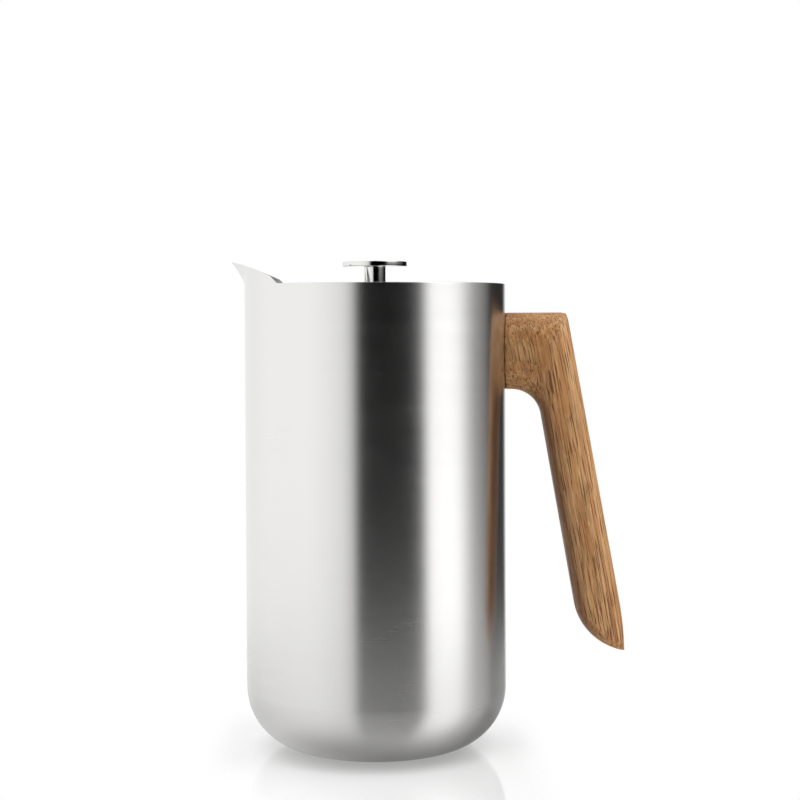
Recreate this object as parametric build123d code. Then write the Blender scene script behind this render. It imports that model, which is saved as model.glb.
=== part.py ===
"""A one litre double-walled steel French press with an oak handle.

Units are millimetres. +Z is up and the base stands on z = 0. The vessel's axis is the Z axis,
the pouring beak points along -X and the handle stands out along +X. The plunger is fully pressed.
"""

from build123d import *

import math
import os

# Driving dimensions of the vessel
BODY_RADIUS = 54.0
RIM_HEIGHT = 192.0
BASE_ROUND = 25.5
OUTER_SHEET = 0.8
INNER_SHEET = 0.7
WALL_GAP = 3.0
FLOOR_GAP = 4.5
WELD_GAP = 0.1

# Beak
BEAK_REACH = 6.2
BEAK_HEIGHT = 9.6
BEAK_TIP_ROUND = 5.0
BEAK_MOUTH_X = -38.5
BEAK_START = 0.3
BEAK_BURIED = 0.05
BEAK_HALF_SPAN = 60.0

# Base
BASE_OPENING_RADIUS = 24.0
BASE_RECESS_RADIUS = 20.0
BASE_RECESS = 1.4

# Lid seat in the inner shell
COLLAR_RADIUS = 52.4
SEAT_DEPTH = 12.0

# Lid
LID_CLEARANCE = 0.3
COVER_RADIUS = 51.6
COVER_SHEET = 0.8
COVER_DEPTH = 2.0
COVER_SKIRT = 4.2
INSERT_CORE_RADIUS = 50.4
INSERT_FLANGE_RADIUS = 51.9
INSERT_PLATE = 6.0
SKIRT_RADIUS = 48.9
SKIRT_WALL = 2.0
SKIRT_DEPTH = 26.0
PORT_INNER_RADIUS = 38.0
PORT_OUTER_RADIUS = 47.0
PORT_HALF_ANGLE = 24.0
GRILLE_THICKNESS = 1.8
GRILLE_SLOTS = 9
GRILLE_SLOT_WIDTH = 2.2
SEAL_HEIGHT = 3.4
SEAL_REACH = 49.2

# Guide bush
BUSH_FLANGE_RADIUS = 7.5
BUSH_FLANGE = 1.1
BUSH_RADIUS = 5.0
BUSH_LENGTH = 13.5
NUT_ACROSS_FLATS = 15.0
NUT_THICKNESS = 3.5
WASHER_THICKNESS = 0.8

# Plunger
ROD_RADIUS = 2.5
RUNNING_CLEARANCE = 0.05
ROD_THREAD_RADIUS = 2.0
THREAD_CLEARANCE = 0.05
KNOB_STEM_RADIUS = 4.5
KNOB_DISC_RADIUS = 13.4
KNOB_DISC = 2.0
KNOB_EDGE = 0.4
KNOB_RISE = 9.4
KNOB_SOCKET = 6.5
PLATE_STACK_Z = 27.0
CROSS_PLATE_RADIUS = 46.0
CROSS_PLATE_SHEET = 0.8
MESH_SHEET = 0.3
MESH_RADIUS = 48.95
MESH_EDGE_HEIGHT = 4.0
COIL_RADIUS = 1.6
COIL_CENTRE_RADIUS = 46.9
SPRING_PLATE_RADIUS = 45.0
SPRING_PLATE_SHEET = 0.7
SPRING_PLATE_EDGE = 3.4
COLLAR_THICKNESS = 3.2
FILTER_NUT_LENGTH = 4.6

# Handle
HANDLE_THICKNESS = 20.0
HANDLE_TOP_Z = 180.1
ARM_UNDERSIDE_Z = 148.4
LEG_OUTER_TOP = (79.6, HANDLE_TOP_Z)
LEG_OUTER_LOW = (101.4, 60.0)
HANDLE_TIP = (103.3, 39.6)
HANDLE_END_ARC_RADIUS = 23.5
LEG_INNER_LOW = (82.8, 58.5)
LEG_INNER_TOP = (66.9, ARM_UNDERSIDE_Z)
PALM_ROUND = 12.5
EDGE_ROUND = 8.0

# Handle bracket and its screw
SADDLE_WIDTH = 12.0
SADDLE_HEIGHT = 22.0
SADDLE_SHEET = 1.5
TANG_LENGTH = 15.0
TANG_WIDTH = 10.0
TANG_HEIGHT = 8.0
BRACKET_Z = 165.0
SCREW_X = 62.5
SCREW_RADIUS = 2.5
SCREW_LENGTH = 13.0
SCREW_HEAD_RADIUS = 4.25
SCREW_HEAD = 4.0
SCREW_POCKET_RADIUS = 5.0
SCREW_POCKET_Z = 155.0
WOOD_CLEARANCE = 0.15
PLUG_CLEARANCE = 0.05
PLUG_TOP_Z = 150.0

# Heights worked out from the dimensions above
COVER_TOP = RIM_HEIGHT - COVER_DEPTH
COVER_UNDER = COVER_TOP - COVER_SHEET
INSERT_TOP = COVER_UNDER - LID_CLEARANCE
INSERT_UNDER = INSERT_TOP - INSERT_PLATE
SKIRT_BOTTOM = RIM_HEIGHT - SKIRT_DEPTH
SEAT_TOP = RIM_HEIGHT - SEAT_DEPTH
BUSH_TOP = COVER_TOP + BUSH_FLANGE + LID_CLEARANCE
BUSH_BOTTOM = BUSH_TOP - BUSH_LENGTH
KNOB_TOP = RIM_HEIGHT + KNOB_RISE
KNOB_BOTTOM = BUSH_TOP + 0.1
MESH_Z = PLATE_STACK_Z + CROSS_PLATE_SHEET
SPRING_PLATE_Z = MESH_Z + MESH_SHEET + 0.05
COLLAR_Z = SPRING_PLATE_Z + SPRING_PLATE_SHEET
INNER_WALL_RADIUS = BODY_RADIUS - OUTER_SHEET - WALL_GAP
BORE_RADIUS = INNER_WALL_RADIUS - INNER_SHEET
INNER_FLOOR_Z = OUTER_SHEET + FLOOR_GAP + INNER_SHEET


def turned(*points):
    """The solid that a closed (radius, z) outline sweeps round the Z axis."""
    return revolve(make_face(Plane.XZ * Polyline(*points, close=True)), Axis.Z)


def ring(inner, outer, low, high):
    """A plain ring between two radii and two heights."""
    return turned((inner, low), (outer, low), (outer, high), (inner, high))


def disc(radius, low, high, x=0.0, y=0.0):
    """A round bar or disc whose axis is vertical."""
    return Pos(x, y, (low + high) / 2) * Cylinder(radius, high - low)


def cup_form(radius, corner, low, high):
    """A filled cup: flat floor, quarter-round corner and straight side."""
    outline = [
        Line((0, low), (radius - corner, low)),
        TangentArc((radius - corner, low), (radius, low + corner), tangent=(1, 0)),
        Line((radius, low + corner), (radius, high)),
        Line((radius, high), (0, high)),
        Line((0, high), (0, low)),
    ]
    return revolve(make_face(Plane.XZ * Wire(outline)), Axis.Z)


def port_form(low, high, margin=0.0):
    """The sector-shaped hole through the lid, on the beak's side."""
    wedge = Polyline(
        (0, 0),
        (-90, -90 * math.tan(math.radians(PORT_HALF_ANGLE))),
        (-90, 90 * math.tan(math.radians(PORT_HALF_ANGLE))),
        close=True,
    )
    sector = Pos(0, 0, low) * extrude(make_face(wedge), high - low)
    return sector & ring(PORT_INNER_RADIUS - margin, PORT_OUTER_RADIUS + margin, low, high)


def beak_reach(height):
    """How far the beak's ridge stands out of the wall at a height above the rim."""
    rise = height - BEAK_START
    if rise <= 0:
        return 0.03
    full = BEAK_HEIGHT - BEAK_START
    share = rise / full
    return 0.03 + BEAK_REACH * (0.68 * share + 0.32 * share**2)


def beak_section(wall_radius, height):
    """One level of the beak: a wall arc, two tangent flats and a small round tip."""
    ridge = wall_radius + beak_reach(height)
    turn = math.acos(wall_radius / ridge)
    span = math.radians(BEAK_HALF_SPAN)
    flat = (wall_radius - BEAK_TIP_ROUND) * math.tan(turn)

    def at(angle, radius=wall_radius):
        return Vector(-radius * math.cos(angle), radius * math.sin(angle), 0)

    def along(angle, length):
        base = at(angle)
        tangent = Vector(-math.sin(angle), -math.cos(angle), 0)
        return base + tangent * (length if angle > 0 else -length)

    tip_x = ridge - BEAK_TIP_ROUND * (1 / math.cos(turn) - 1)
    edges = [
        ThreePointArc(at(span), at((span + turn) / 2), at(turn)),
        Line(at(turn), along(turn, flat)),
        ThreePointArc(along(turn, flat), Vector(-tip_x, 0, 0), along(-turn, flat)),
        Line(along(-turn, flat), at(-turn)),
        ThreePointArc(at(-turn), at(-(span + turn) / 2), at(-span)),
        Line(at(-span), at(span)),
    ]
    return Pos(0, 0, RIM_HEIGHT + height) * make_face(Wire(edges))


def beak_form(wall_radius):
    """The filled beak, blended through its levels from just below the rim."""
    levels = [-2.0, BEAK_START, 1.0, 2.0, 3.5, 5.5, 8.0, 11.0]
    return loft([beak_section(wall_radius, level) for level in levels])


def above_the_lip():
    """Everything over the rim and over the lip line that rises to the beak's tip."""
    tip = (-BODY_RADIUS - BEAK_REACH - 0.5, RIM_HEIGHT + BEAK_HEIGHT + 0.25)
    shoulder = (BEAK_MOUTH_X - 2.8, RIM_HEIGHT + 2.9)
    middle = (-51.9, RIM_HEIGHT + 7.2)
    outline = [
        Line((70, RIM_HEIGHT), (BEAK_MOUTH_X, RIM_HEIGHT)),
        Line((BEAK_MOUTH_X, RIM_HEIGHT), shoulder),
        ThreePointArc(shoulder, middle, tip),
        Line(tip, (-70, tip[1])),
        Line((-70, tip[1]), (-70, 230)),
        Line((-70, 230), (70, 230)),
        Line((70, 230), (70, RIM_HEIGHT)),
    ]
    return extrude(make_face(Plane.XZ * Wire(outline)), 80, both=True)


def outer_shell():
    """The brushed outer wall with its rounded foot, base opening and drawn-out beak."""
    top = RIM_HEIGHT + BEAK_HEIGHT + 1.5
    inner_radius = BODY_RADIUS - OUTER_SHEET
    outside = cup_form(BODY_RADIUS, BASE_ROUND, 0, top)
    outside += beak_form(BODY_RADIUS - BEAK_BURIED)
    inside = cup_form(inner_radius, BASE_ROUND - OUTER_SHEET, OUTER_SHEET, top + 2)
    shell = outside - inside - beak_form(inner_radius - BEAK_BURIED)
    shell -= disc(BASE_OPENING_RADIUS, -1, OUTER_SHEET + 1)
    return shell - above_the_lip()


def base_plate():
    """The welded base disc, pressed up in the middle so that the press stands on a ring."""
    edge = BASE_OPENING_RADIUS - WELD_GAP
    lift = BASE_RECESS
    slope = BASE_RECESS_RADIUS + BASE_RECESS
    return turned(
        (0, lift), (BASE_RECESS_RADIUS, lift), (slope, 0), (edge, 0),
        (edge, OUTER_SHEET), (slope + 0.3, OUTER_SHEET),
        (BASE_RECESS_RADIUS + 0.3, lift + OUTER_SHEET), (0, lift + OUTER_SHEET),
    )


def inner_shell():
    """The inner pot: rounded floor, straight bore, conical lid seat and rim collar."""
    seat_rise = COLLAR_RADIUS - BORE_RADIUS
    seat_low = SEAT_TOP - seat_rise
    corner = BASE_ROUND - OUTER_SHEET - WALL_GAP
    pot = cup_form(INNER_WALL_RADIUS, corner, INNER_FLOOR_Z - INNER_SHEET, seat_low)
    pot -= cup_form(BORE_RADIUS, corner - INNER_SHEET, INNER_FLOOR_Z, seat_low + 1)
    neck = turned(
        (BORE_RADIUS, seat_low - 5),
        (INNER_WALL_RADIUS, seat_low - 5),
        (INNER_WALL_RADIUS, seat_low - 0.3),
        (COLLAR_RADIUS + INNER_SHEET, SEAT_TOP - 0.3),
        (COLLAR_RADIUS + INNER_SHEET, RIM_HEIGHT),
        (COLLAR_RADIUS, RIM_HEIGHT),
        (COLLAR_RADIUS, SEAT_TOP),
        (BORE_RADIUS, seat_low),
    )
    return pot + neck


def handle_outline():
    """The side view of the handle: a short arm, a straight leg and a slanting round end."""
    return [
        Line((BODY_RADIUS - 4, HANDLE_TOP_Z), LEG_OUTER_TOP),
        Line(LEG_OUTER_TOP, LEG_OUTER_LOW),
        TangentArc(
            LEG_OUTER_LOW, HANDLE_TIP,
            tangent=(LEG_OUTER_LOW[0] - LEG_OUTER_TOP[0], LEG_OUTER_LOW[1] - LEG_OUTER_TOP[1]),
        ),
        RadiusArc(HANDLE_TIP, LEG_INNER_LOW, HANDLE_END_ARC_RADIUS),
        *FilletPolyline(
            LEG_INNER_LOW, LEG_INNER_TOP, (BODY_RADIUS - 4, ARM_UNDERSIDE_Z), radius=PALM_ROUND
        ).edges(),
        Line((BODY_RADIUS - 4, ARM_UNDERSIDE_Z), (BODY_RADIUS - 4, HANDLE_TOP_Z)),
    ]


def is_side_edge(edge):
    """True for an edge of either flat side, apart from the one inside the vessel."""
    middle = edge.position_at(0.5)
    on_side = abs(abs(middle.Y) - HANDLE_THICKNESS / 2) < 0.01
    return on_side and middle.X > BODY_RADIUS - 3.9


def handle_form():
    """The rounded block that the handle and its plug are cut from."""
    outline = make_face(Plane.XZ * Wire(handle_outline()))
    block = extrude(outline, HANDLE_THICKNESS / 2, both=True)
    return fillet(block.edges().filter_by(is_side_edge), EDGE_ROUND)


def handle_grip():
    """The oak handle, with the recess, mortise and screw pocket that take its bracket."""
    grip = handle_form()
    saddle_space = Pos(BODY_RADIUS, 0, BRACKET_Z) * Box(
        2 * (SADDLE_SHEET + WOOD_CLEARANCE),
        SADDLE_WIDTH + 2 * WOOD_CLEARANCE,
        SADDLE_HEIGHT + 2 * WOOD_CLEARANCE,
    )
    reach = TANG_LENGTH + WOOD_CLEARANCE
    mortise = Pos(BODY_RADIUS + reach / 2, 0, BRACKET_Z) * Box(
        reach, TANG_WIDTH + 2 * WOOD_CLEARANCE, TANG_HEIGHT + 2 * WOOD_CLEARANCE
    )
    grip -= disc(BODY_RADIUS + WOOD_CLEARANCE, 100, 220)
    grip -= saddle_space + mortise
    grip -= disc(SCREW_POCKET_RADIUS, ARM_UNDERSIDE_Z - 12, SCREW_POCKET_Z, SCREW_X)
    return grip - disc(SCREW_RADIUS + WOOD_CLEARANCE, SCREW_POCKET_Z - 1, BRACKET_Z, SCREW_X)


def handle_plug():
    """The oak plug that closes the screw's pocket and carries on the palm's curve."""
    return handle_form() & disc(
        SCREW_POCKET_RADIUS - PLUG_CLEARANCE, ARM_UNDERSIDE_Z - 12, PLUG_TOP_Z, SCREW_X
    )


def handle_bracket():
    """A curved saddle welded to the outer wall, with a drilled and tapped tang."""
    saddle = ring(
        BODY_RADIUS + 0.02, BODY_RADIUS + SADDLE_SHEET,
        BRACKET_Z - SADDLE_HEIGHT / 2, BRACKET_Z + SADDLE_HEIGHT / 2,
    )
    saddle &= Pos(BODY_RADIUS, 0, BRACKET_Z) * Box(10, SADDLE_WIDTH, SADDLE_HEIGHT)
    root = BODY_RADIUS + 0.5
    tang = Pos((root + BODY_RADIUS + TANG_LENGTH) / 2, 0, BRACKET_Z) * Box(
        BODY_RADIUS + TANG_LENGTH - root, TANG_WIDTH, TANG_HEIGHT
    )
    tapped = disc(SCREW_RADIUS + THREAD_CLEARANCE, BRACKET_Z - 10, BRACKET_Z + 10, SCREW_X)
    return saddle + tang - tapped


def hexagon(across_flats, low, high):
    """A hexagonal bar about the Z axis."""
    radius = across_flats / 2 / math.cos(math.pi / 6)
    return Pos(0, 0, low) * extrude(RegularPolygon(radius, 6), high - low)


def handle_screw():
    """A socket-head screw that comes up from under the arm into the tang."""
    seat = SCREW_POCKET_Z - WASHER_THICKNESS
    head = disc(SCREW_HEAD_RADIUS, seat - SCREW_HEAD, seat)
    head = chamfer(head.edges().sort_by(Axis.Z)[0], 0.4)
    head -= hexagon(4.0, seat - SCREW_HEAD - 1, seat - 1.6)
    shank = disc(SCREW_RADIUS, seat - 0.5, seat + SCREW_LENGTH)
    shank = chamfer(shank.edges().sort_by(Axis.Z)[-1], 0.4)
    return Pos(SCREW_X, 0, 0) * (head + shank)


def handle_washer():
    """The flat washer between the screw's head and the wood."""
    washer = ring(
        SCREW_RADIUS + 0.2, SCREW_POCKET_RADIUS - 0.3,
        SCREW_POCKET_Z - WASHER_THICKNESS, SCREW_POCKET_Z,
    )
    return Pos(SCREW_X, 0, 0) * washer


def lid_cover():
    """The turning steel cover: a shallow cap with the pouring port through it."""
    low = COVER_TOP - COVER_SKIRT
    inner = COVER_RADIUS - COVER_SHEET
    hole = BUSH_RADIUS + LID_CLEARANCE
    cap = turned(
        (hole, COVER_UNDER), (inner, COVER_UNDER), (inner, low), (COVER_RADIUS, low),
        (COVER_RADIUS, COVER_TOP), (hole, COVER_TOP),
    )
    crown = cap.edges().filter_by(GeomType.CIRCLE).sort_by(SortBy.RADIUS)
    crown = crown.filter_by(lambda edge: edge.center().Z > COVER_TOP - 0.01)[-1]
    return fillet(crown, 0.7) - port_form(COVER_UNDER - 1, COVER_TOP + 1)


def grille_slots(low, high):
    """Slots of the strainer, side by side across the port."""
    half_width = PORT_INNER_RADIUS * math.sin(math.radians(PORT_HALF_ANGLE)) - 1.5
    step = 2 * half_width / (GRILLE_SLOTS - 1)
    mid_x = -(PORT_INNER_RADIUS + PORT_OUTER_RADIUS) / 2
    length = PORT_OUTER_RADIUS - PORT_INNER_RADIUS
    slots = []
    for index in range(GRILLE_SLOTS):
        y = -half_width + index * step
        slots.append(
            Pos(mid_x, y, (low + high) / 2) * Box(length + 6, GRILLE_SLOT_WIDTH, high - low)
        )
    return slots


def lid_insert():
    """The moulded insert: a flanged disc with a skirt, a seal groove and a strainer grille."""
    flange_top = COVER_TOP - COVER_SKIRT - 0.5
    seat_gap = 0.2
    flange_low = SEAT_TOP + seat_gap
    core = turned(
        (BUSH_RADIUS + 0.1, INSERT_TOP), (INSERT_CORE_RADIUS, INSERT_TOP),
        (INSERT_CORE_RADIUS, flange_top), (INSERT_FLANGE_RADIUS, flange_top),
        (INSERT_FLANGE_RADIUS, flange_low),
        (SKIRT_RADIUS, flange_low - (INSERT_FLANGE_RADIUS - SKIRT_RADIUS)),
        (SKIRT_RADIUS, SKIRT_BOTTOM), (SKIRT_RADIUS - SKIRT_WALL, SKIRT_BOTTOM),
        (SKIRT_RADIUS - SKIRT_WALL, INSERT_UNDER), (BUSH_RADIUS + 0.1, INSERT_UNDER),
    )
    groove_low = SKIRT_BOTTOM + 3.0
    core -= ring(SKIRT_RADIUS - 1.2, SKIRT_RADIUS + 1, groove_low, groove_low + SEAL_HEIGHT)
    grille_top = INSERT_UNDER + GRILLE_THICKNESS
    core -= port_form(grille_top, INSERT_TOP + 1)
    openings = port_form(INSERT_UNDER - 1, grille_top + 1, margin=-0.6)
    for slot in grille_slots(INSERT_UNDER - 1, grille_top + 1):
        core -= slot & openings
    return core


def lid_seal():
    """The silicone ring in the skirt's groove, with two thin lips that wipe the bore."""
    low = SKIRT_BOTTOM + 3.0 + 0.05
    high = low + SEAL_HEIGHT - 0.1
    root = SKIRT_RADIUS - 1.15
    body = SKIRT_RADIUS - 0.1
    return turned(
        (root, low), (body, low), (SEAL_REACH, low + 0.5), (SEAL_REACH, low + 0.9),
        (body, low + 1.3), (body, high - 1.3), (SEAL_REACH, high - 0.9),
        (SEAL_REACH, high - 0.5), (body, high), (root, high),
    )


def glide_washer():
    """A thin slippery ring that carries the turning cover on the insert."""
    return ring(BUSH_RADIUS + 0.4, 14.0, INSERT_TOP + 0.02, COVER_UNDER - 0.05)


def guide_bush():
    """The polished bush that the plunger's rod runs in. Its flange holds the cover down."""
    bore = ROD_RADIUS + RUNNING_CLEARANCE
    bush = ring(bore, BUSH_RADIUS, BUSH_BOTTOM, BUSH_TOP)
    flange = ring(bore, BUSH_FLANGE_RADIUS, BUSH_TOP - BUSH_FLANGE, BUSH_TOP)
    flange = fillet(flange.edges().sort_by(Axis.Z)[-2:].sort_by(SortBy.RADIUS)[-1], 0.5)
    groove = ring(bore - 0.1, bore + 1.25, BUSH_BOTTOM + 1.5, BUSH_BOTTOM + 4.1)
    return bush + flange - groove


def rod_seal():
    """The soft ring inside the bush that wipes the rod as it slides."""
    low = BUSH_BOTTOM + 1.55
    inner = ROD_RADIUS + 0.03
    soft_ring = ring(inner, ROD_RADIUS + 1.25, low, low + 2.5)
    return fillet(soft_ring.edges().filter_by(GeomType.CIRCLE), 0.35)


def bush_washer():
    """The flat washer under the insert."""
    return ring(BUSH_RADIUS + 0.15, 9.0, INSERT_UNDER - WASHER_THICKNESS - 0.05, INSERT_UNDER - 0.05)


def bush_nut():
    """The hexagonal nut that clamps the bush and the washer to the insert."""
    high = INSERT_UNDER - WASHER_THICKNESS - 0.1
    nut = hexagon(NUT_ACROSS_FLATS, high - NUT_THICKNESS, high)
    dome = turned(
        (0, high + 1), (0, high - NUT_THICKNESS), (7.6, high - NUT_THICKNESS),
        (9.2, high - NUT_THICKNESS + 0.9), (9.2, high + 1),
    )
    return (nut & dome) - disc(BUSH_RADIUS + THREAD_CLEARANCE, high - 10, high + 2)


def knob():
    """The T-shaped knob: a flat disc on a plain stem, tapped from below for the rod."""
    disc_low = KNOB_TOP - KNOB_DISC
    stem = disc(KNOB_STEM_RADIUS, KNOB_BOTTOM, disc_low + 0.5)
    plate = disc(KNOB_DISC_RADIUS, disc_low, KNOB_TOP)
    plate = fillet(plate.edges().filter_by(GeomType.CIRCLE), KNOB_EDGE)
    socket = disc(ROD_THREAD_RADIUS + THREAD_CLEARANCE, KNOB_BOTTOM - 1, KNOB_BOTTOM + KNOB_SOCKET)
    return stem + plate - socket


def plunger_rod():
    """The polished rod, with a reduced threaded end for the knob and one for the filter."""
    low = PLATE_STACK_Z - FILTER_NUT_LENGTH + 0.8
    shoulder = COLLAR_Z + 1.2
    rod = disc(ROD_RADIUS, shoulder, KNOB_BOTTOM - 0.02)
    top_end = disc(ROD_THREAD_RADIUS, KNOB_BOTTOM - 1, KNOB_BOTTOM + KNOB_SOCKET - 0.6)
    low_end = disc(ROD_THREAD_RADIUS, low, shoulder + 1)
    return rod + top_end + low_end


def rod_collar():
    """The shoulder collar on the rod that presses on the filter's top plate."""
    collar = ring(ROD_RADIUS + 0.02, 7.0, COLLAR_Z + 1.2, COLLAR_Z + COLLAR_THICKNESS)
    foot = ring(ROD_THREAD_RADIUS + 0.03, 7.0, COLLAR_Z + 0.02, COLLAR_Z + 1.2)
    collar = collar + foot
    return fillet(collar.edges().sort_by(Axis.Z)[-1:], 0.8)


def ring_of_holes(count, hole_radius, circle_radius, low, high):
    """Evenly spaced round holes on a circle, as cutters."""
    return [
        Rot(0, 0, 360 * index / count) * disc(hole_radius, low, high, circle_radius)
        for index in range(count)
    ]


def spring_plate():
    """The filter's top plate: a flanged disc with flow holes and an upturned edge."""
    low = SPRING_PLATE_Z
    high = low + SPRING_PLATE_SHEET
    edge = SPRING_PLATE_RADIUS
    bore = ROD_THREAD_RADIUS + 0.1
    plate = turned(
        (bore, low), (edge - 0.8, low), (edge, low + 0.8), (edge, low + SPRING_PLATE_EDGE),
        (edge - SPRING_PLATE_SHEET, low + SPRING_PLATE_EDGE),
        (edge - SPRING_PLATE_SHEET, high + 0.4), (edge - SPRING_PLATE_SHEET - 0.4, high), (bore, high),
    )
    for cutter in ring_of_holes(6, 5.0, 18.0, low - 1, high + 1):
        plate -= cutter
    for cutter in ring_of_holes(12, 5.0, 33.0, low - 1, high + 1):
        plate -= cutter
    return plate


def edge_spring():
    """The round edge of the filter, as the plain tube that its wire coil fills."""
    centre_z = MESH_Z + MESH_SHEET + 0.1 + COIL_RADIUS
    return Pos(0, 0, centre_z) * Torus(COIL_CENTRE_RADIUS, COIL_RADIUS)


def filter_mesh():
    """The fine wire cloth, turned up round the coil."""
    return turned(
        (ROD_THREAD_RADIUS + 0.1, MESH_Z), (MESH_RADIUS, MESH_Z),
        (MESH_RADIUS, MESH_Z + MESH_EDGE_HEIGHT),
        (MESH_RADIUS - MESH_SHEET, MESH_Z + MESH_EDGE_HEIGHT),
        (MESH_RADIUS - MESH_SHEET, MESH_Z + MESH_SHEET),
        (ROD_THREAD_RADIUS + 0.1, MESH_Z + MESH_SHEET),
    )


def cross_plate():
    """The stiff perforated plate under the wire cloth."""
    low = PLATE_STACK_Z
    high = low + CROSS_PLATE_SHEET - 0.02
    plate = ring(ROD_THREAD_RADIUS + 0.1, CROSS_PLATE_RADIUS, low, high)
    for count, circle_radius in ((8, 15.0), (14, 27.0), (20, 38.5)):
        for cutter in ring_of_holes(count, 4.0, circle_radius, low - 1, high + 1):
            plate -= cutter
    return plate


def filter_nut():
    """The flanged nut that closes the filter stack from below."""
    high = PLATE_STACK_Z - 0.02
    flange = disc(6.5, high - 1.2, high)
    body = hexagon(8.0, high - FILTER_NUT_LENGTH, high - 1)
    bore = disc(ROD_THREAD_RADIUS + THREAD_CLEARANCE, high - FILTER_NUT_LENGTH + 0.8, high + 1)
    return flange + body - bore


SUBPARTS = [
    outer_shell, base_plate, inner_shell,
    handle_grip, handle_plug, handle_bracket, handle_screw, handle_washer,
    lid_cover, lid_insert, lid_seal, glide_washer, guide_bush, rod_seal, bush_washer, bush_nut,
    knob, plunger_rod, rod_collar, spring_plate, edge_spring, filter_mesh, cross_plate, filter_nut,
]

os.makedirs("parts", exist_ok=True)
for make in SUBPARTS:
    export_step(make(), f"parts/{make.__name__}.step")
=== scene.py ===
# %% [markdown]
# # A French press, finished in Blender
#
# A French press is a pot with a plunger. Coffee brews in the pot, and a wire filter on a rod is
# pushed down through it. This one has a double wall of stainless steel, an oak handle and a plain
# steel knob. The exact parts and the way they move come from a imported model. This notebook gives
# them the meshes and the finishes that a camera needs.
#
# Everything is in metres. The vessel's axis is the Z axis, it stands on z = 0, its beak points
# along -X and its handle along +X. We keep the imported model's box.

# %% Load the imported model
import math

import bmesh
import bpy
from mathutils import Matrix, Vector


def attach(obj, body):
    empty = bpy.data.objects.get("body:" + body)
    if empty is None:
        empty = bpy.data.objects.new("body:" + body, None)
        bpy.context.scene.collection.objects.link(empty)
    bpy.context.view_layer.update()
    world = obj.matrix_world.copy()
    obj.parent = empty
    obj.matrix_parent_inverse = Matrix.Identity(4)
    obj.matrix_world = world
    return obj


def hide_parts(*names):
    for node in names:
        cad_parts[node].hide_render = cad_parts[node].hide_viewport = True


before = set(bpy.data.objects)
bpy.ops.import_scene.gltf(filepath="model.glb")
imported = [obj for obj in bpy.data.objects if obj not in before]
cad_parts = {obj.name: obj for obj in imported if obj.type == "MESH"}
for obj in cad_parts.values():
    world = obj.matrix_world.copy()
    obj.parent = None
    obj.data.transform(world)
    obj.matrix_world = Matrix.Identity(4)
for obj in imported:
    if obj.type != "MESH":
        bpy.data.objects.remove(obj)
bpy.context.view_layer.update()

MM = 0.001
print("nodes:", len(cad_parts))

# %% [markdown]
# ## The camera
#
# The press is seen from the front with a long lens, from just under its rim, so the lid stays
# hidden and the foot curves away below. A camera standing 0.735 m off and 178 mm up, tilted down
# by two degrees, gives that view. The press sits left of the middle and low in the picture. A
# small lens shift does that without turning the camera, as a view camera does.

# %% Make the camera
CAMERA_DISTANCE = 0.735
CAMERA_HEIGHT = 0.178
CAMERA_TILT = math.radians(2.154)
CAMERA_ROLL = math.radians(-0.25)

lens = bpy.data.cameras.new("camera")
lens.sensor_width = 36.0
lens.lens = 79.56
lens.shift_x = 0.0309
lens.shift_y = -0.0190
camera = bpy.data.objects.new("camera", lens)
bpy.context.scene.collection.objects.link(camera)
camera.location = (0, -CAMERA_DISTANCE, CAMERA_HEIGHT)
turn = Matrix.Rotation(math.pi / 2 - CAMERA_TILT, 4, "X") @ Matrix.Rotation(CAMERA_ROLL, 4, "Z")
camera.rotation_euler = turn.to_euler()
bpy.context.scene.camera = camera
bpy.context.scene.view_settings.view_transform = "Standard"
print("lens", lens.lens, "mm at", CAMERA_DISTANCE, "m")

# %% [markdown]
# ## A helper for shader nodes
#
# Materials here are graphs of nodes. Making each node takes three steps: create it, set its
# options, and fill or connect its inputs. One helper does all three, so that a graph reads from
# top to bottom like a recipe.


# %% Define the node helper
def node(tree, kind, inputs=None, **options):
    """Adds a shader node. An input is either a value or another node's output to connect."""
    made = tree.nodes.new("ShaderNode" + kind)
    for name, option in options.items():
        setattr(made, name, option)
    for name, value in (inputs or {}).items():
        socket = made.inputs[name]
        if isinstance(value, bpy.types.NodeSocket):
            tree.links.new(value, socket)
        else:
            socket.default_value = value
    return made


def sums(tree, operation, first, second=0.5, third=0.5):
    """One step of arithmetic on numbers, and its result."""
    return node(tree, "Math", {0: first, 1: second, 2: third}, operation=operation).outputs[0]


def ramp(tree, factor, stops, smooth=True):
    """A colour ramp whose stops are (place, grey or colour)."""
    made = node(tree, "ValToRGB", {"Fac": factor})
    made.color_ramp.interpolation = "EASE" if smooth else "LINEAR"
    elements = made.color_ramp.elements
    while len(elements) < len(stops):
        elements.new(1.0)
    for element, (place, colour) in zip(elements, stops):
        element.position = place
        rgb = colour if isinstance(colour, tuple) else (colour,) * 3
        element.color = (*rgb, 1)
    return made.outputs["Color"]


print("node helpers ready")

# %% [markdown]
# ## The studio
#
# Polished and brushed steel have no colour of their own: they show the room. So the room is the
# real material here. A product studio for steel is a white tent with a dark gap where the camera
# stands. The gap draws the dark stripe down the vessel's middle, and a tall soft light beside it
# draws the bright stripe on its right.
#
# The tent is drawn in the world's shader, as brightness against the compass direction, with 0 at
# the camera's side and positive angles towards the handle. Four more things are laid over it:
#
# - on the handle's side a dark plinth with a grey step above it, which only the mirror-bright
#   knob is sharp enough to show;
# - a white wall behind the press, which the glossy table mirrors;
# - one even grey straight down, so that the rounded foot stays calm;
# - a soft lamp high on the handle's side, which lifts the oak's outer edge.
#
# Each has its limits as shares of a full turn for the compass, and as the height of the direction
# for its levels. What the camera itself sees behind the press stays plain white.

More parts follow.
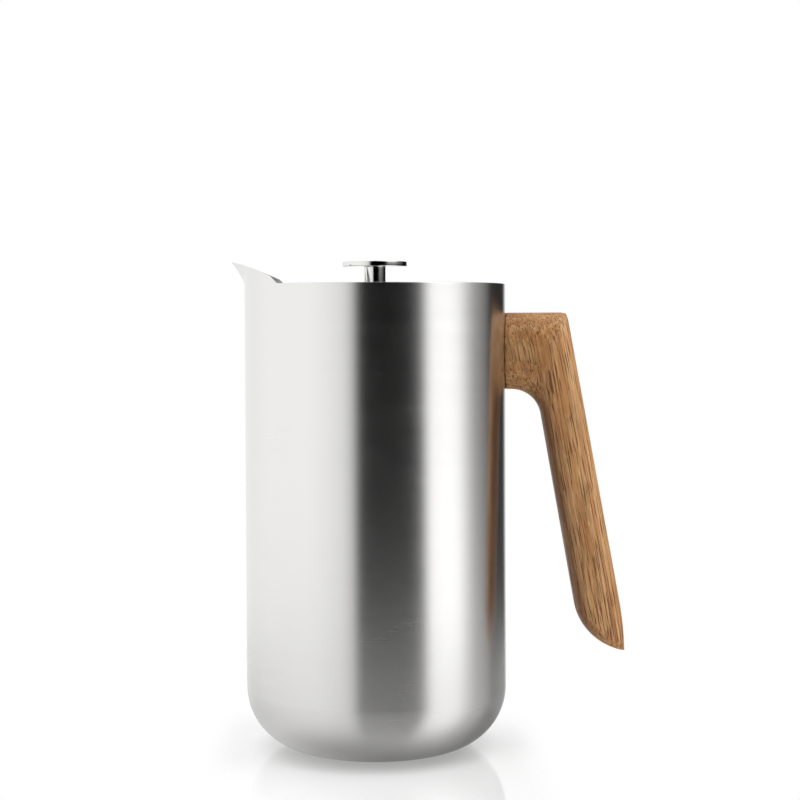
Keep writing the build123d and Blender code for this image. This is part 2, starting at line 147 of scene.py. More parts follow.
# %% Light the studio
TENT_STRENGTH = 2.2
TENT = [
    (-180, 0.20), (-168, 0.36), (-155, 0.48), (-110, 0.58), (-60, 0.59), (-42, 0.545),
    (-28, 0.48), (-20, 0.335), (-15, 0.05), (-11, 0.0), (30, 0.0), (35, 0.018), (40, 0.085),
    (45, 0.46), (50, 0.86), (66, 0.94), (77, 0.88), (86, 0.60), (96, 0.34), (106, 0.24),
    (114, 0.17), (122, 0.02), (160, 0.04), (180, 0.20),
]
STEP_SHARE, STEP_LEVELS = 0.24, (0.09, 0.05)
PLINTH_SHARE, PLINTH_LEVELS = 0.06, (0.0295, 0.0265)
PLINTH_SIDE = (0.58, 0.60)
BACK_WALL, WALL_DEPTHS, WALL_LEVELS = 0.47, (0.90, 0.97), (0.42, 0.34)
NADIR, NADIR_LEVELS = 0.17, (-0.60, -0.97)
LAMP, LAMP_LEVELS, LAMP_NEAR, LAMP_FAR = 1.25, (0.55, 0.68), (0.60, 0.66), (0.86, 0.80)

world = bpy.data.worlds.new("studio")
bpy.context.scene.world = world
world.use_nodes = True
sky = world.node_tree
sky.nodes.clear()
towards = node(sky, "SeparateXYZ", {0: node(sky, "TexCoord").outputs["Generated"]}).outputs
compass = sums(sky, "ARCTAN2", towards["X"], sums(sky, "MULTIPLY", towards["Y"], -1.0))
compass = sums(sky, "MULTIPLY_ADD", compass, 1 / math.tau, 0.5)
tent = ramp(sky, compass, [(angle / 360 + 0.5, share) for angle, share in TENT], smooth=False)


def between_limits(value, start, end, top=1.0):
    """A share that rises from 0 at one value to its top at another."""
    return node(sky, "MapRange", {
        "Value": value, "From Min": start, "From Max": end, "To Max": top}).outputs[0]


def laid_over(picture, mask, grey):
    """Lays an even grey over the tent where a mask is bright."""
    colour = (grey,) * 3 + (1,)
    return node(sky, "MixRGB", {"Fac": mask, "Color1": picture, "Color2": colour}).outputs[0]


level = sums(sky, "ABSOLUTE", towards["Z"])
step = between_limits(level, *STEP_LEVELS, 1 - STEP_SHARE)
plinth = sums(sky, "MAXIMUM", step, between_limits(level, *PLINTH_LEVELS, 1 - PLINTH_SHARE))
plinth = sums(sky, "MULTIPLY", plinth, between_limits(compass, *PLINTH_SIDE))
shade = sums(sky, "MULTIPLY_ADD", plinth, -1.0, 1.0)
tent = node(sky, "VectorMath", {0: tent, 1: shade}, operation="MULTIPLY").outputs[0]
behind = between_limits(towards["Y"], *WALL_DEPTHS)
behind = sums(sky, "MULTIPLY", behind, between_limits(level, *WALL_LEVELS))
tent = laid_over(tent, behind, BACK_WALL)
tent = laid_over(tent, between_limits(towards["Z"], *NADIR_LEVELS), NADIR)
above = between_limits(towards["Z"], *LAMP_LEVELS)
above = sums(sky, "MULTIPLY", above, between_limits(compass, *LAMP_NEAR))
above = sums(sky, "MULTIPLY", above, between_limits(compass, *LAMP_FAR))
tent = laid_over(tent, above, LAMP)
light = node(sky, "Background", {"Color": tent, "Strength": TENT_STRENGTH})
plain = node(sky, "Background", {"Color": (1, 1, 1, 1), "Strength": 1.0})
seen = node(sky, "LightPath").outputs["Is Camera Ray"]
both = node(sky, "MixShader", {0: seen, 1: light.outputs[0], 2: plain.outputs[0]})
node(sky, "OutputWorld", {"Surface": both.outputs[0]})
print("tent of", len(TENT), "stops")

# %% [markdown]
# ## The floor
#
# The press stands on a white table with a glossy lacquer, which mirrors it faintly. To the camera
# the lacquer also glows, and that glow is dimmed under the foot: a painted shadow where the steel
# curves away close above it. To the camera the table fades to plain white a little way out, and
# sooner at the press's sides, so that no edge or far shadow shows. To every other ray it fades away
# there, so the steel sees the lower half of the tent instead, with its dark gap.

# %% Make the floor
FLOOR_RADIUS = 0.42
SEEN_FADE = (0.085, 0.170)
SIDE_FADE = (0.054, 0.072)
GLOW_FADE = (0.170, 0.420)
GLOW_SHARE = 0.45
FOOT_SHADE = (0.040, 0.056)
LACQUER_GLOW = (0.25, 0.385)

mesh = bpy.data.meshes.new("floor")
bm = bmesh.new()
bmesh.ops.create_circle(bm, cap_ends=True, radius=FLOOR_RADIUS, segments=128)
bmesh.ops.translate(bm, verts=bm.verts, vec=(0, 0, -0.0001))
bm.to_mesh(mesh)
bm.free()
floor = bpy.data.objects.new("floor", mesh)
bpy.context.scene.collection.objects.link(floor)

lacquer = bpy.data.materials.new("white_lacquer")
lacquer.use_nodes = True
tree = lacquer.node_tree
tree.nodes.clear()
place = node(tree, "TexCoord").outputs["Object"]
radius = node(tree, "VectorMath", {0: place}, operation="LENGTH").outputs["Value"]


def fades(start, end, inside=0.0, measure=radius):
    """A share that rises to 1 between two radii, or between two limits of another measure."""
    return node(tree, "MapRange", {
        "Value": measure, "From Min": start, "From Max": end, "To Min": inside,
    }, interpolation_type="SMOOTHSTEP").outputs[0]


# Painted shadow: the lacquer's glow to the camera rises from dim under the foot to full further out.
glow_with_foot_shadow = node(tree, "MapRange", {
    "Value": radius, "From Min": FOOT_SHADE[0], "From Max": FOOT_SHADE[1],
    "To Min": LACQUER_GLOW[0], "To Max": LACQUER_GLOW[1],
}, interpolation_type="SMOOTHSTEP").outputs[0]
top = node(tree, "BsdfPrincipled", {
    "Base Color": (0.55, 0.55, 0.55, 1), "Roughness": 0.05, "IOR": 1.45,
    "Specular IOR Level": 0.22, "Emission Color": (1, 1, 1, 1), "Emission Strength": glow_with_foot_shadow,
})
white = node(tree, "Emission", {"Color": (1, 1, 1, 1), "Strength": 1.0})
matt = node(tree, "BsdfDiffuse", {"Color": (0.75, 0.75, 0.75, 1)})
clear = node(tree, "BsdfTransparent")
aside = sums(tree, "ABSOLUTE", node(tree, "SeparateXYZ", {0: place}).outputs["X"])
whitened = sums(tree, "MAXIMUM", fades(*SEEN_FADE), fades(*SIDE_FADE, measure=aside))
to_camera = node(tree, "MixShader", {0: whitened, 1: top.outputs[0], 2: white.outputs[0]})
to_others = node(tree, "MixShader", {
    0: fades(*GLOW_FADE, GLOW_SHARE), 1: matt.outputs[0], 2: clear.outputs[0]})
seen = node(tree, "LightPath").outputs["Is Camera Ray"]
surface = node(tree, "MixShader", {0: seen, 1: to_others.outputs[0], 2: to_camera.outputs[0]})
node(tree, "OutputMaterial", {"Surface": surface.outputs[0]})
mesh.materials.append(lacquer)
print("floor radius", FLOOR_RADIUS, "m")

# %% [markdown]
# ## Effects that several finishes share
#
# Three effects come back again and again, so each is a node group with named inputs:
#
# - *brushing*: fine lines left by a belt or a lathe. On a turned part they run round the axis, so
#   they depend only on height plus radius, with a slow drift round the part.
# - *handling*: faint cloudy smudges, where fingers and cloths have touched the surface.
# - *moulding*: the tiny matt grain of a moulded plastic or silicone part.
#
# A group gives out numbers only. Each material decides what to do with them.


# %% Define how a node group is started
def shared_effect(name, inputs, outputs):
    """A new shader node group with number inputs and outputs."""
    group = bpy.data.node_groups.new(name, "ShaderNodeTree")
    for label, default in inputs.items():
        socket = group.interface.new_socket(label, in_out="INPUT", socket_type="NodeSocketFloat")
        socket.default_value = default
    for label in outputs:
        group.interface.new_socket(label, in_out="OUTPUT", socket_type="NodeSocketFloat")
    entry = group.nodes.new("NodeGroupInput")
    leave = group.nodes.new("NodeGroupOutput")
    return group, entry.outputs, leave.inputs


def use_effect(tree, group, inputs=None):
    """Places a shared effect in a material and gives its outputs."""
    made = tree.nodes.new("ShaderNodeGroup")
    made.node_tree = group
    for name, value in (inputs or {}).items():
        made.inputs[name].default_value = value
    return made.outputs


print("group helpers ready")

# %% [markdown]
# Brushing needs lines about a tenth of a millimetre apart, and a slower band every few
# millimetres where the belt pressed harder. A noise texture makes both when its coordinates are
# squeezed: very fine across the lines, very slow along them.

# %% Build the brushing effect
brushing, given, result = shared_effect(
    "brushing", {"Lines per metre": 5000.0, "Scratches": 0.5}, ["Height", "Tone", "Scratch"]
)
place = node(brushing, "TexCoord").outputs["Object"]
parts = node(brushing, "SeparateXYZ", {0: place}).outputs
flat = node(brushing, "CombineXYZ", {0: parts["X"], 1: parts["Y"], 2: 0.0}).outputs[0]
across = node(brushing, "VectorMath", {0: flat}, operation="LENGTH").outputs["Value"]
across = sums(brushing, "ADD", across, parts["Z"])


def stretched(tree, drift, fineness, **options):
    """Noise that is slow round the axis and fine across the brushed lines."""
    along = node(tree, "VectorMath", {0: flat, 1: (drift,) * 3}, operation="MULTIPLY").outputs[0]
    line = sums(tree, "MULTIPLY", across, fineness)
    up = node(tree, "CombineXYZ", {2: line}).outputs[0]
    where = node(tree, "VectorMath", {0: along, 1: up}, operation="ADD").outputs[0]
    return node(tree, "TexNoise", {"Vector": where, **options}).outputs["Fac"]


fine = stretched(brushing, 45.0, given["Lines per metre"], Scale=1.0, Detail=2.0)
band = stretched(brushing, 12.0, 420.0, Scale=1.0, Detail=3.0)
nick = stretched(brushing, 260.0, 1500.0, Scale=1.0, Detail=0.0)
mixed = sums(brushing, "MULTIPLY_ADD", band, 0.35, sums(brushing, "MULTIPLY", fine, 0.65))
brushing.links.new(fine, result["Height"])
brushing.links.new(mixed, result["Tone"])
nicked = node(brushing, "MapRange", {"Value": nick, "From Min": 0.962, "From Max": 0.980}).outputs[0]
brushing.links.new(sums(brushing, "MULTIPLY", nicked, given["Scratches"]), result["Scratch"])
print("brushing outputs:", [socket.name for socket in result if socket.name])

# %% Build the handling and moulding effects
handling, given, result = shared_effect("handling", {"Size": 30.0}, ["Smudge"])
place = node(handling, "TexCoord").outputs["Object"]
cloud = node(handling, "TexNoise", {
    "Vector": place, "Scale": given["Size"], "Detail": 4.0, "Roughness": 0.6, "Distortion": 0.8,
}).outputs["Fac"]
smudge = node(handling, "MapRange", {"Value": cloud, "From Min": 0.42, "From Max": 0.72}).outputs[0]
handling.links.new(smudge, result["Smudge"])

moulding, given, result = shared_effect("moulding", {"Grains per metre": 2600.0}, ["Grain", "Tone"])
place = node(moulding, "TexCoord").outputs["Object"]
grain = node(moulding, "TexVoronoi", {"Vector": place, "Scale": given["Grains per metre"]})
drift = node(moulding, "TexNoise", {"Vector": place, "Scale": 60.0, "Detail": 2.0}).outputs["Fac"]
moulding.links.new(grain.outputs["Distance"], result["Grain"])
moulding.links.new(drift, result["Tone"])
print("effects:", [group.name for group in bpy.data.node_groups])

# %% [markdown]
# ## Steel
#
# All the steel is one alloy, so every steel finish has the same slightly warm grey. The finishes
# differ in how rough the surface is and whether the roughness has a direction. Brushing leaves
# grooves round the part. Across the grooves the surface scatters light widely, and along them
# hardly at all, which is what *anisotropic* means. A turn of a quarter sets the wide scatter
# across the lines.


# %% Define the steel finishes
STEEL = (0.665, 0.660, 0.650)
STEEL_DARK = (0.600, 0.594, 0.583)


def steel(name, roughness, spread, lines=5000.0, groove=0.02, scratches=0.5, tint=STEEL):
    """A steel finish. spread is how directional it is, and groove how deep its lines look."""
    made = bpy.data.materials.new(name)
    made.use_nodes = True
    tree = made.node_tree
    tree.nodes.clear()
    lined = use_effect(tree, brushing, {"Lines per metre": lines, "Scratches": scratches})
    smudge = use_effect(tree, handling)["Smudge"]
    rough = sums(tree, "MULTIPLY_ADD", lined["Tone"], roughness * 0.25, roughness * 0.86)
    rough = sums(tree, "MULTIPLY_ADD", smudge, 0.025, rough)
    rough = sums(tree, "MULTIPLY_ADD", lined["Scratch"], 0.12, rough)
    colour = node(tree, "MixRGB", {
        "Fac": lined["Tone"],
        "Color1": (*[c * 0.965 for c in tint], 1),
        "Color2": (*[c * 1.03 for c in tint], 1),
    }).outputs[0]
    dulled = node(tree, "MixRGB", {
        "Fac": sums(tree, "MULTIPLY", lined["Scratch"], 0.35),
        "Color1": colour, "Color2": (*[c * 0.5 for c in tint], 1),
    }).outputs[0]
    bump = node(tree, "Bump", {
        "Height": lined["Height"], "Strength": groove, "Distance": 0.0001,
    }).outputs[0]
    shader = node(tree, "BsdfPrincipled", {
        "Base Color": dulled, "Metallic": 1.0, "Roughness": rough, "Normal": bump,
        "Anisotropic": spread, "Anisotropic Rotation": 0.25,
    })
    node(tree, "OutputMaterial", {"Surface": shader.outputs[0]})
    return made


body_steel = steel("body_steel", roughness=0.25, spread=0.85, groove=0.02, scratches=0.3)
inner_steel = steel("inner_steel", roughness=0.30, spread=0.75, groove=0.15, scratches=0.2)
cover_steel = steel("cover_steel", roughness=0.27, spread=0.80, groove=0.12)
pressed_steel = steel("pressed_steel", roughness=0.30, spread=0.20, groove=0.05, tint=STEEL_DARK)
wire_steel = steel("wire_steel", roughness=0.20, spread=0.0, groove=0.0, scratches=0.0)
polished_steel = steel("polished_steel", roughness=0.07, spread=0.0, groove=0.0, scratches=0.1)
print("finishes so far:", ", ".join(made.name for made in bpy.data.materials))

# %% [markdown]
# ## Oak
#
# Oak is easy to know by its pores: short dark dashes that run with the grain and crowd into each
# year's early wood. The rings themselves are nearly cylinders, because the tree is. So the
# pattern is made in three dimensions, as if the handle were cut from a real plank. The rings are
# cylinders round a line behind the handle, tilted along its leg. Where the handle's edge rounds
# over, the rings show as contour lines, with no extra work.
#
# The faces that look back at the vessel, into the shade between the grip and the pot, get a
# painted shade: a deeper brown laid over the wood.

# %% Make the oak
GRAIN_TILT = math.radians(10.4)
HEART = (0.0815, 0.140)
RINGS_PER_METRE = 560.0

oak = bpy.data.materials.new("oiled_oak")
oak.use_nodes = True
tree = oak.node_tree
tree.nodes.clear()
place = node(tree, "TexCoord").outputs["Object"]
plank = node(tree, "Mapping", {
    "Vector": place, "Rotation": (0, GRAIN_TILT, 0),
}).outputs[0]


def fibre(scale, **options):
    """Noise stretched along the grain."""
    where = node(tree, "Mapping", {"Vector": plank, "Scale": scale}).outputs[0]
    return node(tree, "TexNoise", {"Vector": where, "Scale": 1.0, **options}).outputs["Fac"]


def grading(value, low, high, start=0.0, end=1.0):
    """Rescales a number between two limits, and clips it there."""
    return node(tree, "MapRange", {
        "Value": value, "From Min": low, "From Max": high, "To Min": start, "To Max": end,
    }).outputs[0]


heart = node(tree, "Mapping", {
    "Vector": plank, "Location": (-HEART[0], -HEART[1], 0),
}).outputs[0]
parts = node(tree, "SeparateXYZ", {0: heart}).outputs
ring = node(tree, "CombineXYZ", {0: parts["X"], 1: parts["Y"]}).outputs[0]
ring = node(tree, "VectorMath", {0: ring}, operation="LENGTH").outputs["Value"]
sway = sums(tree, "MULTIPLY_ADD", fibre((70, 70, 9), Detail=2.0), 0.011, ring)
sway = sums(tree, "MULTIPLY_ADD", fibre((500, 500, 40), Detail=2.0), 0.0011, sway)
year = sums(tree, "FRACT", sums(tree, "MULTIPLY", sway, RINGS_PER_METRE))
early = ramp(tree, year, [(0.0, 0.75), (0.12, 1.0), (0.40, 0.80), (0.62, 0.10), (0.95, 0.0)])
seam = ramp(tree, year, [(0.0, 0.0), (0.07, 1.0), (0.22, 0.25), (0.34, 0.0)])

pore_field = fibre((2300, 2300, 62), Detail=1.0, Roughness=0.5)
pores = grading(sums(tree, "MULTIPLY_ADD", early, 0.06, pore_field), 0.605, 0.640)
fine_field = fibre((4200, 4200, 190), Detail=1.0, Roughness=0.5)
fine_pores = grading(sums(tree, "MULTIPLY_ADD", early, 0.05, fine_field), 0.57, 0.68)
streaks = fibre((900, 900, 7), Detail=3.0, Roughness=0.7)
patches = fibre((75, 75, 12), Detail=2.0)
rays = grading(fibre((300, 1500, 170), Detail=0.0), 0.66, 0.74)

tone = sums(tree, "MULTIPLY_ADD", streaks, 0.75, sums(tree, "MULTIPLY", patches, 0.30))
tone = sums(tree, "MULTIPLY_ADD", early, 0.16, tone)
tone = grading(tone, 0.38, 0.82)
wood = ramp(tree, tone, [
    (0.0, (0.420, 0.175, 0.056)), (0.5, (0.720, 0.360, 0.135)), (1.0, (0.980, 0.640, 0.310)),
], smooth=False)


def grain_or_shade_laid_on(wood, mask, strength, colour):
    """Lays a colour over the wood where a mask is bright."""
    return node(tree, "MixRGB", {
        "Fac": sums(tree, "MULTIPLY", mask, strength), "Color1": wood, "Color2": (*colour, 1),
    }).outputs[0]


wood = grain_or_shade_laid_on(wood, rays, 0.25, (0.80, 0.50, 0.26))
wood = grain_or_shade_laid_on(wood, seam, 0.42, (0.230, 0.085, 0.028))
wood = grain_or_shade_laid_on(wood, fine_pores, 0.32, (0.250, 0.092, 0.030))
wood = grain_or_shade_laid_on(wood, pores, 0.85, (0.170, 0.056, 0.016))
# Painted shade: faces turned back towards the vessel get a deep brown laid over them, for the shade
# between grip and pot.
facing = node(tree, "SeparateXYZ", {0: node(tree, "TexCoord").outputs["Normal"]}).outputs["X"]
painted_shade_inside = grading(facing, -0.35, -0.80)
wood = grain_or_shade_laid_on(wood, painted_shade_inside, 0.72, (0.130, 0.045, 0.016))
depth = sums(tree, "MULTIPLY_ADD", pores, -1.0, sums(tree, "MULTIPLY", fine_pores, -0.3))
bump = node(tree, "Bump", {"Height": depth, "Strength": 0.5, "Distance": 0.0002}).outputs[0]
rough = sums(tree, "MULTIPLY_ADD", pores, 0.25, sums(tree, "MULTIPLY_ADD", streaks, 0.12, 0.40))
shader = node(tree, "BsdfPrincipled", {
    "Base Color": wood, "Roughness": rough, "Normal": bump, "IOR": 1.48,
})
node(tree, "OutputMaterial", {"Surface": shader.outputs[0]})
print("oak:", len(tree.nodes), "nodes")

# %% [markdown]
# ## Moulded parts
#
# The lid's insert is black plastic with a fine matt texture from its mould, the seals are soft
# grey silicone, and a thin white ring carries the turning cover. They share one recipe with
# different colours, gloss and grain.


# %% Make the moulded finishes
def moulded(name, colour, roughness, grains=2600.0, relief=0.12):
    """A moulded plastic or rubber finish with a fine grain."""
    made = bpy.data.materials.new(name)
    made.use_nodes = True
    tree = made.node_tree
    tree.nodes.clear()
    grain = use_effect(tree, moulding, {"Grains per metre": grains})
    smudge = use_effect(tree, handling, {"Size": 45.0})["Smudge"]
    tone = node(tree, "MixRGB", {
        "Fac": grain["Tone"],
        "Color1": (*[c * 0.85 for c in colour], 1), "Color2": (*[c * 1.15 for c in colour], 1),
    }).outputs[0]
    rough = sums(tree, "MULTIPLY_ADD", smudge, -0.06, roughness)
    bump = node(tree, "Bump", {
        "Height": grain["Grain"], "Strength": relief, "Distance": 0.00005,
    }).outputs[0]
    shader = node(tree, "BsdfPrincipled", {
        "Base Color": tone, "Roughness": rough, "Normal": bump,
    })
    node(tree, "OutputMaterial", {"Surface": shader.outputs[0]})
    return made


black_plastic = moulded("black_plastic", (0.022, 0.022, 0.024), 0.48)
grey_silicone = moulded("grey_silicone", (0.085, 0.086, 0.090), 0.62, grains=1800.0)
white_plastic = moulded("white_plastic", (0.74, 0.74, 0.71), 0.35, relief=0.05)
print("finishes:", len(bpy.data.materials))

# %% [markdown]
# ## Finishing a mesh
#
# Every new piece ends the same way. Its doubles are merged, its faces are turned outwards, it is
# shaded smooth except across sharp edges, and it is tied to a body and a material slot, while the
# imported node that it stands for is hidden. A weighted-normal step keeps large faces looking flat
# right up to their rounded edges. It is applied at once, so the mesh that is kept is the final one.


# %% Define how a piece is finished
def finish_piece(name, bm, body, material, replaced, sharp=40.0):
    """Turns a bmesh into a finished, riding piece."""
    bmesh.ops.remove_doubles(bm, verts=bm.verts, dist=1e-7)
    bmesh.ops.recalc_face_normals(bm, faces=bm.faces)
    mesh = bpy.data.meshes.new(name)
    bm.to_mesh(mesh)
    bm.free()
    mesh.shade_smooth()
    mesh.set_sharp_from_angle(angle=math.radians(sharp))
    piece = bpy.data.objects.new(name, mesh)
    bpy.context.scene.collection.objects.link(piece)
    even = piece.modifiers.new("even shading", "WEIGHTED_NORMAL")
    even.keep_sharp = True
    settle(piece)
    piece.data.materials.clear()
    piece.data.materials.append(material)
    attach(piece, body)
    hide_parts(*replaced)
    print(f"{name}: {len(piece.data.polygons)} faces")
    return piece


def settle(piece):
    """Applies a piece's modifiers to its mesh."""
    seen = piece.evaluated_get(bpy.context.evaluated_depsgraph_get())
    mesh = bpy.data.meshes.new_from_object(seen)
    piece.modifiers.clear()
    piece.data = mesh


# %% [markdown]
# ## Turned parts
#
# Most of a press is round: it is spun, pressed or turned on a lathe. So is its mesh. We draw half
# of the section as a flat face, in millimetres of radius and height, and round its corners with a
# vertex bevel while it is still flat. Then only the outline is kept and spun about the axis.


# %% Define how a section is turned
def section_edges(bm, corners):
    """Draws a section from corners of (radius, height, rounding, steps), the last two optional."""
    verts = [bm.verts.new((c[0] * MM, 0, c[1] * MM)) for c in corners]
    bm.faces.new(verts)
    for vert, corner in zip(verts, corners):
        if len(corner) > 2:
            bmesh.ops.bevel(
                bm, geom=[vert], offset=corner[2] * MM,
                segments=corner[3] if len(corner) > 3 else 4,
                affect="VERTICES", profile=0.5, material=-1,
            )
    bmesh.ops.delete(bm, geom=bm.faces[:], context="FACES_ONLY")
    on_axis = [e for e in bm.edges if all(v.co.x < 1e-7 for v in e.verts)]
    bmesh.ops.delete(bm, geom=on_axis, context="EDGES")


def turned(corners, steps=192, bm=None):
    """A bmesh of the closed solid that a section sweeps round the Z axis."""
    bm = bm or bmesh.new()
    section_edges(bm, corners)
    bmesh.ops.spin(
        bm, geom=bm.verts[:] + bm.edges[:], cent=(0, 0, 0), axis=(0, 0, 1),
        angle=math.tau, steps=steps, use_merge=True,
    )
    bmesh.ops.remove_doubles(bm, verts=bm.verts, dist=1e-7)
    return bm


print("turning helper ready")

# %% [markdown]
# ## The outer wall and its beak
#
# The outer wall is a deep-drawn cup with a large round foot. At the rim the sheet is drawn out
# into a beak: two flats leave the wall as tangents and meet in a small round tip, and the lip
# rises along them.
#
# We spin the plain double-sided wall first, with its corners rounded. Then the top 2 mm is
# stretched to the beak's height, and every level is pushed out to the beak's own section. The
# columns are crowded together towards -X first, because that is where the shape is.

# %% Describe the beak
BODY = 54.0
SHEET = 0.8
RIM = 192.0
TIP_ROUND = 5.0
RIDGE_START = 0.3
RIDGE_HEIGHT = 9.3
RIDGE_REACH = 6.2
LIP_START = -38.5
LIP_CORNER = (-41.3, 2.9)
LIP_END = (-60.7, 9.85)
LIP_BOW = 0.335


def beak_radius(wall, around, level):
    """The beak's radius at an angle from -X and a level above the rim."""
    rise = max(level - RIDGE_START, 0.0) / RIDGE_HEIGHT
    ridge = wall + 0.03 + RIDGE_REACH * (0.68 * rise + 0.32 * rise**2)
    turn = math.acos(wall / ridge)
    around = abs(around)
    if around >= turn:
        return wall
    centre = (wall - TIP_ROUND) / math.cos(turn)
    reach = math.atan2(TIP_ROUND * math.sin(turn), centre + TIP_ROUND * math.cos(turn))
    if around >= reach:
        return wall / math.cos(turn - around)
    across = centre * math.sin(around)
    return centre * math.cos(around) + math.sqrt(TIP_ROUND**2 - across**2)


def lip_level(x):
    """How far the lip stands above the rim at a place along X."""
    if x > LIP_START:
        return 0.0
    if x > LIP_CORNER[0]:
        return (LIP_START - x) * LIP_CORNER[1] / (LIP_START - LIP_CORNER[0])
    share = (LIP_CORNER[0] - x) / (LIP_CORNER[0] - LIP_END[0])
    bowed = share + LIP_BOW * share * (1 - share)
    return LIP_CORNER[1] + (LIP_END[1] - LIP_CORNER[1]) * bowed


print("beak stands out", round(beak_radius(BODY, 0, LIP_END[1]) - BODY, 2), "mm at its tip")

# %% Make the outer wall
FOOT = 25.5
DRAWN = 2.0
CROWDING = 0.70


def wall_section():
    """The wall's section, with extra loops where the beak will be stretched."""
    loops = [RIM - DRAWN + 1.5 * step / 13 for step in range(14)]
    outside = [(24.0, 0.0), (BODY, 0.0, FOOT, 28)] + [(BODY, z) for z in loops]
    lip = [(BODY, RIM, 0.25, 4), (BODY - SHEET, RIM, 0.25, 4)]
    inside = [(BODY - SHEET, z) for z in reversed(loops)]
    return outside + lip + inside + [(BODY - SHEET, SHEET, FOOT - SHEET, 28), (24.0, SHEET)]


def draw_out_beak(bm):
    """Moves each vertex of the spun wall to its place on the beak."""
    for vert in bm.verts:
        x, y, z = (part / MM for part in vert.co)
        radius = math.hypot(x, y)
        around = math.atan2(y, -x)
        around -= CROWDING * math.sin(around)
        level = z - RIM
        if level > -DRAWN:
            side = (radius - (BODY - SHEET)) / SHEET
            low_edge = z - RIM + DRAWN
            for _ in range(12):
                lip = lip_level(-radius * math.cos(around))
                if low_edge <= 1.5:
                    level = -DRAWN + low_edge / 1.5 * (lip + 1.5)
                else:
                    level = lip + low_edge - DRAWN
                outer = max(BODY, beak_radius(BODY - 0.05, around, level))
                inner = max(BODY - SHEET, beak_radius(BODY - SHEET - 0.05, around, level))
                radius = inner + side * (outer - inner)
        vert.co = (
            -radius * math.cos(around) * MM, radius * math.sin(around) * MM, (RIM + level) * MM
        )


bm = turned(wall_section(), steps=360)
draw_out_beak(bm)
finish_piece("outer_wall", bm, "vessel", body_steel, ["outer_shell"])

# %% [markdown]
# ## The base and the inner pot
#
# The press stands on a flat ring. Inside that ring the base disc is pressed up by 1.4 mm, so a
# drop of coffee cannot seal it to the table. The inner pot is a second cup, 3 mm inside the first.
# Near its top a cone carries the lid, and a collar above it meets the outer wall at the rim.

# %% Turn the base disc and the inner pot
bm = turned([
    (0, 1.4), (20, 1.4, 0.8), (21.4, 0, 0.5), (23.9, 0, 0.1), (23.9, 0.8, 0.1),
    (21.7, 0.8, 0.5), (20.3, 2.2, 0.8), (0, 2.2),
])
finish_piece("base_disc", bm, "vessel", body_steel, ["base_plate"])

bm = turned([
    (0, 5.3), (50.2, 5.3, 21.7, 24), (50.2, 176.8, 0.5), (53.1, 179.7, 0.5),
    (53.1, 192, 0.2), (52.4, 192, 0.2), (52.4, 180, 0.4), (49.5, 177.1, 0.4),
    (49.5, 6, 21, 24), (0, 6),
], steps=256)
finish_piece("inner_pot", bm, "vessel", inner_steel, ["inner_shell"])

# %% [markdown]
# ## The oak handle
#
# The handle is one block of oak with heavily rounded edges: a short arm, a leg that leans out, and
# a slanted round end. Cut anywhere, it shows a plump oval. So we build it as a chain of ovals.
# Each oval stands between a point on the outer line and a point on the inner line. Where the arm
# turns into the leg the ovals open like a fan round the palm's curve.

# %% Lay out the handle's ovals
PALM = (56.5, 135.9)
PALM_ROUND = 12.5
ARM_TOP = 180.1
OUTER_TOP = (79.6, 180.1)
OUTER_LOW = (101.4, 60.0)
INNER_LOW = (82.8, 58.5)
TIP = (103.3, 39.6)
ARM_DEPTH = 31.7
CORNER_EASE = 0.8
END_ROUND = 23.5


def between(a, b, share):
    """A point on the line from a to b."""
    return tuple(p + (q - p) * share for p, q in zip(a, b))


def arc_through(start, end, heading, share):
    """A point on the arc that leaves start along heading and arrives at end."""
    chord = Vector(end) - Vector(start)
    bend = 2 * Vector(heading).angle_signed(chord)
    half = bend * share / 2
    length = chord.length * (math.sin(half) / math.sin(bend / 2) if abs(bend) > 1e-6 else share)
    spun = Matrix.Rotation(bend / 2 - half, 2) @ chord.normalized()
    return tuple(Vector(start) + spun * length)


def palm_ray(turn):
    """Where a ray from the palm's centre leaves the handle, with the outer corner eased."""
    ray = Vector((math.cos(turn), math.sin(turn)))
    to_top = (ARM_TOP - PALM[1]) / max(ray.y, 1e-3)
    along = Vector(OUTER_LOW) - Vector(OUTER_TOP)
    normal = Vector((-along.y, along.x)).normalized()
    to_leg = (Vector(OUTER_TOP) - Vector(PALM)).dot(normal) / max(ray.dot(normal), 1e-3)
    near = min(to_top, to_leg)
    eased = near - CORNER_EASE * math.log(
        math.exp((near - to_top) / CORNER_EASE) + math.exp((near - to_leg) / CORNER_EASE))
    return Vector(PALM) + ray * eased


def end_point(share):
    """A point on the slanted round end, from the inner line to the tip."""
    start, end, radius = Vector(INNER_LOW), Vector(TIP), END_ROUND
    half = (end - start) / 2
    away = Vector((-half.y, half.x)).normalized()
    centre = start + half + away * math.sqrt(radius**2 - half.length_squared)
    first = math.atan2(start.y - centre.y, start.x - centre.x)
    last = math.atan2(end.y - centre.y, end.x - centre.x)
    turn = first + (last - first) * share
    return (centre.x + radius * math.cos(turn), centre.y + radius * math.sin(turn))


